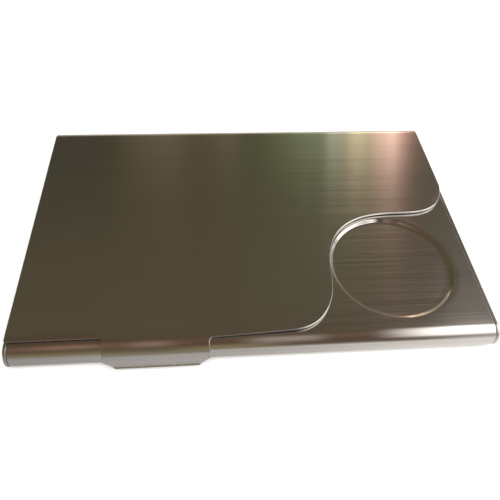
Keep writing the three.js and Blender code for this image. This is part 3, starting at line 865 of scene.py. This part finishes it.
def make_ear(side):
    name = "right_lid_ear" if side > 0 else "left_lid_ear"
    z1 = LID_UNDER - JOINT_GAP
    z0 = z1 - 0.55
    web = HY - 5.2
    arc = arc_pts(HY, HZ, EAR_R, 72, -200, 60)
    poly = np.vstack([arc, [[web, z0], [web, z1], [HY + 0.1, z1]]])[::-1]
    c3 = []
    for i, p in enumerate(poly):
        a, b = poly[i - 1], poly[(i + 1) % len(poly)]
        u, v = p - a, b - p
        ang = abs(math.degrees(math.atan2(u[0] * v[1] - u[1] * v[0], u @ v)))
        c3.append((p[0], p[1], 0.2 if ang > 20 else 0.0))
    poly = dense(rounded(c3, 5), 1.2)
    hole = circle_hole(HY, HZ, PIN_R + 0.06)
    if side < 0:
        poly, hole = (poly * [-1, 1])[::-1], (hole * [-1, 1])[::-1]
    mesh = Mesh()
    add_sheet(mesh, [poly, hole], flat_x(side * EAR_X, side), EAR_T, 0.08, 0.08, None, mats=(0, 0, 0))
    sq = rounded([(EAR_X - 6.2, web, 0.6), (EAR_X - 0.25, web, 0.2), (EAR_X - 0.25, HY - 0.4, 0.2), (EAR_X - 6.2, HY - 0.4, 0.6)], 6)
    if side < 0:
        sq = (sq * [-1, 1])[::-1]
    add_sheet(mesh, [dense(sq, 1.2)], flat_z(z1, 1), 0.55, 0.08, 0.08, None, mats=(0, 0, 0))
    o = mesh.to_object(name + "_bracket", [ear_mat])
    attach(o, "lid"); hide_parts(name)


def make_spring():
    top = LID_UNDER - JOINT_GAP
    line = np.array([[22, 0], [19, 0], [16, -0.005], [14.5, -0.04], [12, -0.16], [8, -0.36], [3, -0.58], [-2, -0.77],
                     [-5.5, -0.84], [-7.5, -0.80], [-9, -0.68]])
    yy = np.linspace(22, -9, 200)
    zz = np.interp(-yy, -line[:, 0], line[:, 1])
    k = np.ones(9) / 9
    for _ in range(3):
        zz = np.convolve(np.pad(zz, 4, mode="edge"), k, "valid")
    zz = np.minimum(zz, 0.0)
    bb = np.r_[0, np.cumsum(np.hypot(np.diff(yy), np.diff(zz)))]
    sl = np.gradient(zz, bb)
    dy = np.gradient(yy, bb)
    T = 0.3

    def f(ab):
        y, z = np.interp(ab[:, 1], bb, yy), np.interp(ab[:, 1], bb, zz) + top - T
        d = np.arctan2(np.interp(ab[:, 1], bb, sl), np.interp(ab[:, 1], bb, dy))
        n = len(ab); zero, one = np.zeros(n), np.ones(n)
        return np.c_[-ab[:, 0] * -1, y, z], np.c_[one, zero, zero], np.c_[zero, np.cos(d), np.sin(d)], np.c_[zero, -np.sin(d), np.cos(d)]

    L = bb[-1]
    x0, x1 = -30.0, 2.0
    taper0 = L - 19.0
    poly = rounded([(x0, 0.0, 1.5), (x1, 0.0, 1.5), (x1, 10.0, 3.0), (x1 - 6.6, L, 2.0), (x0 + 6.6, L, 2.0), (x0, 10.0, 3.0)], 8)
    rows = np.linspace(0, L, 34)
    poly = split_at_rows(dense(poly, 1.2), rows)
    mesh = Mesh()
    add_sheet(mesh, [poly], f, T, 0.06, 0.06, grid_points(np.arange(x0 + 1, x1 - 0.5, 2.0), rows), mats=(0, 1, 0), margin=0.15)
    # two weld dimples on the root pad
    for cx in (-21.0, -7.0):
        t = np.linspace(0, 2 * math.pi, 28, endpoint=False)
        V, N = [], []
        for r, h in ((1.0, 0.0), (0.85, -0.035), (0.5, -0.05), (0.001, -0.055)):
            V.append(np.c_[cx + r * np.cos(t), 19.3 + r * np.sin(t), np.full(28, top - T + 0.01 + h)])
            N.append(np.c_[0.25 * r * np.cos(t), 0.25 * r * np.sin(t), -np.ones(28)])
        V, N = np.vstack(V), np.vstack(N)
        F = []
        for q in range(3):
            for i in range(28):
                j = (i + 1) % 28
                F.append((q * 28 + i, (q + 1) * 28 + i, (q + 1) * 28 + j, q * 28 + j))
        F.append(tuple(range(28)))
        mesh.add(V, N, V[:, :2], F, [0] * len(F))
    o = mesh.to_object("card_spring_leaf", [spring_mat, cut_edge])
    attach(o, "spring_leaf"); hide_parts("card_spring")


make_lid()
make_base()
for side in (-1, 1):
    make_frame(side)
    make_pin(side)
    make_washer(side)
    make_ear(side)
make_spring()


# ------------------------------------------------------------------ floor, light and surroundings
def plain(name, color, rough):
    m = bpy.data.materials.new(name)
    m.use_nodes = True
    b = m.node_tree.nodes["Principled BSDF"]
    b.inputs["Base Color"].default_value = (*color, 1)
    b.inputs["Roughness"].default_value = rough
    b.inputs["Specular IOR Level"].default_value = 0.1
    return m


me = bpy.data.meshes.new("floor")
me.from_pydata([(-40, -40, -0.00005), (40, -40, -0.00005), (40, 40, -0.00005), (-40, 40, -0.00005)], [], [(0, 1, 2, 3)])
fm = plain("floor_pale", (0.84, 0.84, 0.84), 0.9)
ft = fm.node_tree
# the floor as the steel mirrors it (glossy rays) takes a painted shade: grey 0.30 on the left rising to 0.78 on the
# right, darker than the even 0.84 the camera sees
fx = node(ft, "ShaderNodeSeparateXYZ", -900, 0)
ft.links.new(node(ft, "ShaderNodeTexCoord", -1100, 0).outputs["Object"], fx.inputs[0])
fr = node(ft, "ShaderNodeMapRange", -700, 0)
fr.inputs["From Min"].default_value, fr.inputs["From Max"].default_value = -0.07, 0.07
ft.links.new(fx.outputs["X"], fr.inputs["Value"])
reflected_floor_shade = ramp(ft, fr.outputs[0], [(p, (v, v, v)) for p, v in (
    (0.0, 0.30), (0.18, 0.34), (0.29, 0.385), (0.43, 0.43), (0.51, 0.45), (0.586, 0.51), (0.71, 0.67), (0.86, 0.76), (1.0, 0.78))], -500, 0)
fl = node(ft, "ShaderNodeLightPath", -700, 300)
fx2 = node(ft, "ShaderNodeMix", -300, 0, data_type="RGBA")
fx2.inputs["A"].default_value = (0.84, 0.84, 0.84, 1)
ft.links.new(fl.outputs["Is Glossy Ray"], fx2.inputs["Factor"])
ft.links.new(reflected_floor_shade, fx2.inputs["B"])
ft.links.new(fx2.outputs["Result"], ft.nodes["Principled BSDF"].inputs["Base Color"])
me.materials.append(fm)
floor = bpy.data.objects.new("floor", me)
bpy.context.scene.collection.objects.link(floor)


def lin(r, g, b, k=1.0):
    f = lambda c: (c / 255 / 12.92) if c / 255 <= 0.04045 else ((c / 255 + 0.055) / 1.055) ** 2.4
    return (f(r) * k, f(g) * k, f(b) * k)


# The room: a dim olive studio with a broad window on the right and a few low coloured lamps behind the case.
# Directions are the sideways cosine cx and the angle psi in the YZ plane (0 back, 90 overhead, 180 front).
K = 1 / 0.55     # what the steel reflects, back to what stands around it
world = bpy.data.worlds.new("surroundings")
bpy.context.scene.world = world
world.use_nodes = True
wt = world.node_tree
for n in list(wt.nodes):
    wt.nodes.remove(n)
out = node(wt, "ShaderNodeOutputWorld", 1800, 0)
tc = node(wt, "ShaderNodeTexCoord", -1400, 0)
sep = node(wt, "ShaderNodeSeparateXYZ", -1200, 0)
wt.links.new(tc.outputs["Generated"], sep.inputs[0])
cx = sep.outputs["X"]
at = node(wt, "ShaderNodeMath", -1000, -200, operation="ARCTAN2")
wt.links.new(sep.outputs["Z"], at.inputs[0]); wt.links.new(sep.outputs["Y"], at.inputs[1])
psi = mix_math(wt, "DIVIDE", at.outputs[0], math.pi, -800, -200)
xs = mix_math(wt, "MULTIPLY_ADD", cx, 0.5, -1000, 100)
xs.node.inputs[2].default_value = 0.5
P = lambda deg: deg / 180.0
X = lambda c: c * 0.5 + 0.5


def smooth(v, lo, hi, x=0, y=0):
    n = node(wt, "ShaderNodeMapRange", x, y, interpolation_type="SMOOTHSTEP")
    n.inputs["From Min"].default_value, n.inputs["From Max"].default_value = lo, hi
    wt.links.new(v, n.inputs["Value"])
    return n.outputs[0]


def scaled(color, fac, k, x=0, y=0):
    """color * fac * k, added up later"""
    a_ = node(wt, "ShaderNodeVectorMath", x, y, operation="SCALE")
    if isinstance(color, tuple):
        a_.inputs[0].default_value = color
    else:
        wt.links.new(color, a_.inputs[0])
    wt.links.new(mix_math(wt, "MULTIPLY", fac, k, x - 200, y), a_.inputs["Scale"])
    return a_.outputs[0]


def added(a_, b_, x=0, y=0):
    n = node(wt, "ShaderNodeVectorMath", x, y, operation="ADD")
    wt.links.new(a_, n.inputs[0]); wt.links.new(b_, n.inputs[1])
    return n.outputs[0]


left_ramp = ramp(wt, psi, [
    (P(0), lin(212, 204, 190, K)), (P(7), lin(186, 176, 160, K)), (P(13), lin(118, 110, 94, K)), (P(19), lin(76, 73, 60, K)), (P(38), lin(60, 57, 43, K)), (P(50), lin(77, 71, 54, K)), (P(61), lin(83, 76, 59, K)),
    (P(68), lin(77, 66, 51, K)), (P(84), lin(79, 65, 51, K)), (P(100), lin(97, 76, 62, K)), (P(115), lin(106, 84, 71, K)),
    (P(128), lin(84, 71, 57, K)), (P(142), lin(92, 82, 62, K)), (P(152), lin(108, 98, 75, K)), (P(168), lin(124, 116, 94, K)),
    (P(180), lin(134, 130, 120, K))], -500, 200)
right_ramp = ramp(wt, psi, [
    (P(0), lin(212, 204, 190, K)), (P(7), lin(186, 176, 160, K)), (P(13), lin(118, 110, 94, K)), (P(19), lin(80, 75, 61, K)), (P(44), lin(72, 68, 53, K)), (P(55), lin(78, 71, 58, K)), (P(63), lin(78, 70, 59, K)),
    (P(75), lin(84, 74, 61, K)), (P(100), lin(90, 78, 64, K)), (P(118), lin(94, 76, 64, K)), (P(132), lin(84, 66, 56, K)),
    (P(148), lin(82, 67, 58, K)), (P(164), lin(84, 73, 64, K)), (P(172), lin(110, 103, 95, K)), (P(180), lin(135, 130, 124, K))], -500, -300)
mixw = node(wt, "ShaderNodeMix", 0, 0, data_type="RGBA")
wt.links.new(smooth(cx, -0.25, 0.30, -500, 500), mixw.inputs["Factor"])
wt.links.new(left_ramp, mixw.inputs["A"]); wt.links.new(right_ramp, mixw.inputs["B"])
total = mixw.outputs["Result"]
# low coloured lamps at the back, drawn into streaks by the brushing
streak = ramp(wt, xs, [
    (X(-0.30), (0.0, 0.0, 0.0)), (X(-0.17), (0.006, 0.002, 0.0)), (X(-0.13), (0.079, 0.057, 0.040)), (X(-0.075), (0.132, 0.099, 0.066)), (X(-0.02), (0.042, 0.028, 0.018)), (X(0.015), (0.070, 0.052, 0.034)),
    (X(0.030), (0.096, 0.073, 0.046)), (X(0.055), (0.096, 0.073, 0.046)), (X(0.068), (0.01, 0.025, 0.01)), (X(0.10), (0.01, 0.03, 0.01)),
    (X(0.15), (0.10, 0.13, 0.06)), (X(0.19), (0.20, 0.26, 0.15)), (X(0.223), (0.22, 0.27, 0.16)), (X(0.233), (0.66, 0.70, 0.52)), (X(0.262), (0.645, 0.60, 0.40)), (X(0.275), (1.26, 1.08, 0.70)),
    (X(0.290), (1.28, 1.11, 0.71)), (X(0.302), (0.84, 0.76, 0.51)), (X(0.315), (1.55, 1.05, 0.78)), (X(0.330), (1.75, 1.20, 0.92)), (X(0.345), (2.45, 1.62, 1.35)), (X(0.36), (1.2, 0.68, 0.60)),
    (X(0.378), (0.33, 0.19, 0.15)), (X(0.40), (0.10, 0.065, 0.065)), (X(0.46), (0.0, 0.0, 0.0)), (X(0.55), (0.0, 0.0, 0.0))], 0, 500)
low = mix_math(wt, "MULTIPLY", smooth(psi, P(12), P(17), 200, 300), mix_math(wt, "SUBTRACT", 1.0, smooth(psi, P(33), P(43), 200, 400), 400, 400), 600, 300)
total = added(total, scaled(streak, low, 1.75, 800, 300), 1000, 200)
# the window
win = mix_math(wt, "MULTIPLY", smooth(psi, P(69), P(90), 200, -300), mix_math(wt, "SUBTRACT", 1.0, smooth(psi, P(132), P(156), 200, -400), 400, -400), 600, -300)
fade = node(wt, "ShaderNodeMapRange", 400, -650, interpolation_type="SMOOTHSTEP")
fade.inputs["From Min"].default_value, fade.inputs["From Max"].default_value = 0.46, 0.60
fade.inputs["To Min"].default_value, fade.inputs["To Max"].default_value = 2.3, 1.0
wt.links.new(cx, fade.inputs["Value"])
win = mix_math(wt, "MULTIPLY", win, smooth(cx, 0.295, 0.445, 400, -500), 800, -300)
total = added(total, scaled((1.0, 0.99, 0.975), mix_math(wt, "MULTIPLY", win, fade.outputs[0], 900, -300), 1.0, 1000, -300), 1200, 100)
# its lower part, seen from the side
tail = mix_math(wt, "MULTIPLY", smooth(cx, 0.38, 0.48, 0, -4500), mix_math(wt, "MULTIPLY", smooth(psi, P(59), P(76), 0, -4600), smooth(psi, P(120), P(95), 0, -4700), 200, -4600), 400, -4500)
total = added(total, scaled((1.0, 0.97, 0.95), tail, 0.90, 1000, -4500), 1250, 50)
side = mix_math(wt, "MULTIPLY", smooth(cx, 0.55, 0.85, 400, -700), mix_math(wt, "MULTIPLY", smooth(psi, P(-20), P(70), 200, -700), smooth(psi, P(180), P(150), 200, -800), 600, -700), 800, -700)
total = added(total, scaled((1.0, 0.985, 0.96), side, 0.9, 1000, -700), 1300, 0)
# a pale patch of ceiling
patch = mix_math(wt, "MULTIPLY", mix_math(wt, "MULTIPLY", smooth(cx, 0.035, 0.12, 0, -1000), smooth(cx, 0.235, 0.18, 0, -1100), 200, -1000),
                 mix_math(wt, "MULTIPLY", smooth(psi, P(86), P(112), 0, -1200), smooth(psi, P(150), P(128), 0, -1300), 200, -1200), 400, -1000)
total = added(total, scaled((1.0, 0.97, 0.94), patch, 0.28, 1000, -1000), 1400, -100)
patch2 = mix_math(wt, "MULTIPLY", mix_math(wt, "MULTIPLY", smooth(cx, -0.36, -0.27, 0, -1500), smooth(cx, -0.19, -0.245, 0, -1600), 200, -1500),
                  mix_math(wt, "MULTIPLY", smooth(psi, P(82), P(104), 0, -1700), smooth(psi, P(134), P(118), 0, -1800), 200, -1700), 400, -1500)
total = added(total, scaled((1.0, 0.72, 0.52), patch2, 0.12, 1000, -1500), 1500, -200)
patch3 = mix_math(wt, "MULTIPLY", mix_math(wt, "MULTIPLY", smooth(cx, -0.18, -0.13, 0, -2000), smooth(cx, -0.06, -0.11, 0, -2100), 200, -2000),
                  mix_math(wt, "MULTIPLY", smooth(psi, P(88), P(106), 0, -2200), smooth(psi, P(138), P(120), 0, -2300), 200, -2200), 400, -2000)
total = added(total, scaled((1.0, 0.88, 0.78), patch3, 0.16, 1000, -2000), 1500, -300)
glow = mix_math(wt, "MULTIPLY", smooth(cx, 0.36, 0.52, 0, -2500), smooth(psi, P(138), P(168), 0, -2600), 200, -2500)
total = added(total, scaled((1.0, 0.97, 1.0), glow, 0.55, 1000, -2500), 1500, -400)
band = mix_math(wt, "MULTIPLY", mix_math(wt, "MULTIPLY", smooth(cx, -0.10, -0.02, 0, -3000), smooth(cx, 0.17, 0.06, 0, -3100), 200, -3000),
                mix_math(wt, "MULTIPLY", smooth(psi, P(132), P(146), 0, -3200), smooth(psi, P(170), P(160), 0, -3300), 200, -3200), 400, -3000)
total = added(total, scaled((0.149, 0.156, 0.062), band, 0.75, 1000, -3000), 1500, -500)
gap = mix_math(wt, "MULTIPLY", mix_math(wt, "MULTIPLY", smooth(cx, -0.07, -0.02, 0, -3500), smooth(cx, 0.10, 0.04, 0, -3600), 200, -3500),
               mix_math(wt, "MULTIPLY", smooth(psi, P(98), P(110), 0, -3700), smooth(psi, P(130), P(119), 0, -3800), 200, -3700), 400, -3500)
total = added(total, scaled((-0.06, -0.045, -0.033), gap, 0.9, 1000, -3500), 1500, -600)
# further to the left the room is plain olive
olive = ramp(wt, psi, [(P(0), lin(212, 204, 190, K)), (P(7), lin(186, 176, 160, K)), (P(14), lin(112, 106, 88, K)), (P(24), lin(72, 69, 55, K)), (P(60), lin(78, 73, 54, K)), (P(105), lin(82, 76, 57, K)),
                       (P(140), lin(98, 90, 69, K)), (P(168), lin(124, 117, 98, K)), (P(180), lin(134, 130, 120, K))], 1100, -900)
mixo = node(wt, "ShaderNodeMix", 1500, -100, data_type="RGBA")
wt.links.new(smooth(cx, -0.34, -0.46, 1300, -900), mixo.inputs["Factor"])
wt.links.new(total, mixo.inputs["A"]); wt.links.new(olive, mixo.inputs["B"])
total = mixo.outputs["Result"]
# and a cooler grey low down on the far right
cool = mix_math(wt, "MULTIPLY", smooth(cx, 0.385, 0.47, 0, -4000), mix_math(wt, "MULTIPLY", smooth(psi, P(26), P(34), 0, -4100), smooth(psi, P(80), P(62), 0, -4200), 200, -4100), 400, -4000)
total = added(total, scaled((0.003, 0.007, 0.018), cool, 1.0, 1000, -4000), 1500, -700)
green = mix_math(wt, "MULTIPLY", mix_math(wt, "MULTIPLY", smooth(cx, 0.058, 0.072, 0, -5500), smooth(cx, 0.29, 0.23, 0, -5600), 200, -5500),
                 mix_math(wt, "MULTIPLY", smooth(psi, P(24), P(34), 0, -5700), smooth(psi, P(64), P(52), 0, -5800), 200, -5700), 400, -5500)
total = added(total, scaled((0.004, 0.013, 0.002), green, 1.0, 1000, -5500), 1500, -900)
dim = mix_math(wt, "MULTIPLY", smooth(cx, -0.17, -0.205, 0, -5000), smooth(psi, P(56), P(42), 0, -5100), 200, -5000)
total = added(total, scaled((-0.016, -0.011, 0.002), dim, 1.0, 1000, -5000), 1500, -800)
bg = node(wt, "ShaderNodeBackground", 1600, 0)
wt.links.new(total, bg.inputs["Color"])
bg.inputs["Strength"].default_value = 1.0
# the backdrop that the camera sees past the floor is as pale as the floor
pale = node(wt, "ShaderNodeBackground", 1600, -200)
pale.inputs["Color"].default_value = (0.96, 0.96, 0.96, 1)
lp = node(wt, "ShaderNodeLightPath", 1400, 300)
mxs = node(wt, "ShaderNodeMixShader", 1700, 0)
wt.links.new(lp.outputs["Is Camera Ray"], mxs.inputs["Fac"])
wt.links.new(bg.outputs[0], mxs.inputs[1]); wt.links.new(pale.outputs[0], mxs.inputs[2])
wt.links.new(mxs.outputs[0], out.inputs["Surface"])

# broad overhead light for the floor; it isn't mirrored in the steel
sun = bpy.data.lights.new("overhead", "SUN")
sun.energy = 3.6
sun.angle = rad(50)
so = bpy.data.objects.new("overhead", sun)
bpy.context.scene.collection.objects.link(so)
so.rotation_euler = (rad(26), rad(0), 0)
so.visible_glossy = False


# ------------------------------------------------------------------ camera
f_px = 506.2
C = Vector((-8.97, -77.93 + Y_SHIFT, 91.18)) * 1e-3
pitch, yaw, roll = rad(50.936), rad(7.088), rad(3.747)
d = Vector((math.sin(yaw) * math.cos(pitch), math.cos(yaw) * math.cos(pitch), -math.sin(pitch)))
r = Vector((math.cos(yaw), -math.sin(yaw), 0))
u = r.cross(d)
r2 = r * math.cos(roll) + u * math.sin(roll)
u2 = u * math.cos(roll) - r * math.sin(roll)
cam = bpy.data.cameras.new("camera")
cam.sensor_width = 36.0
cam.lens = f_px * 36.0 / 500.0
cam.clip_start, cam.clip_end = 0.005, 20.0
co = bpy.data.objects.new("camera", cam)
bpy.context.scene.collection.objects.link(co)
co.matrix_world = Matrix(((r2.x, u2.x, -d.x, C.x), (r2.y, u2.y, -d.y, C.y), (r2.z, u2.z, -d.z, C.z), (0, 0, 0, 1)))
bpy.context.scene.camera = co
bpy.context.scene.view_settings.view_transform = "Standard"
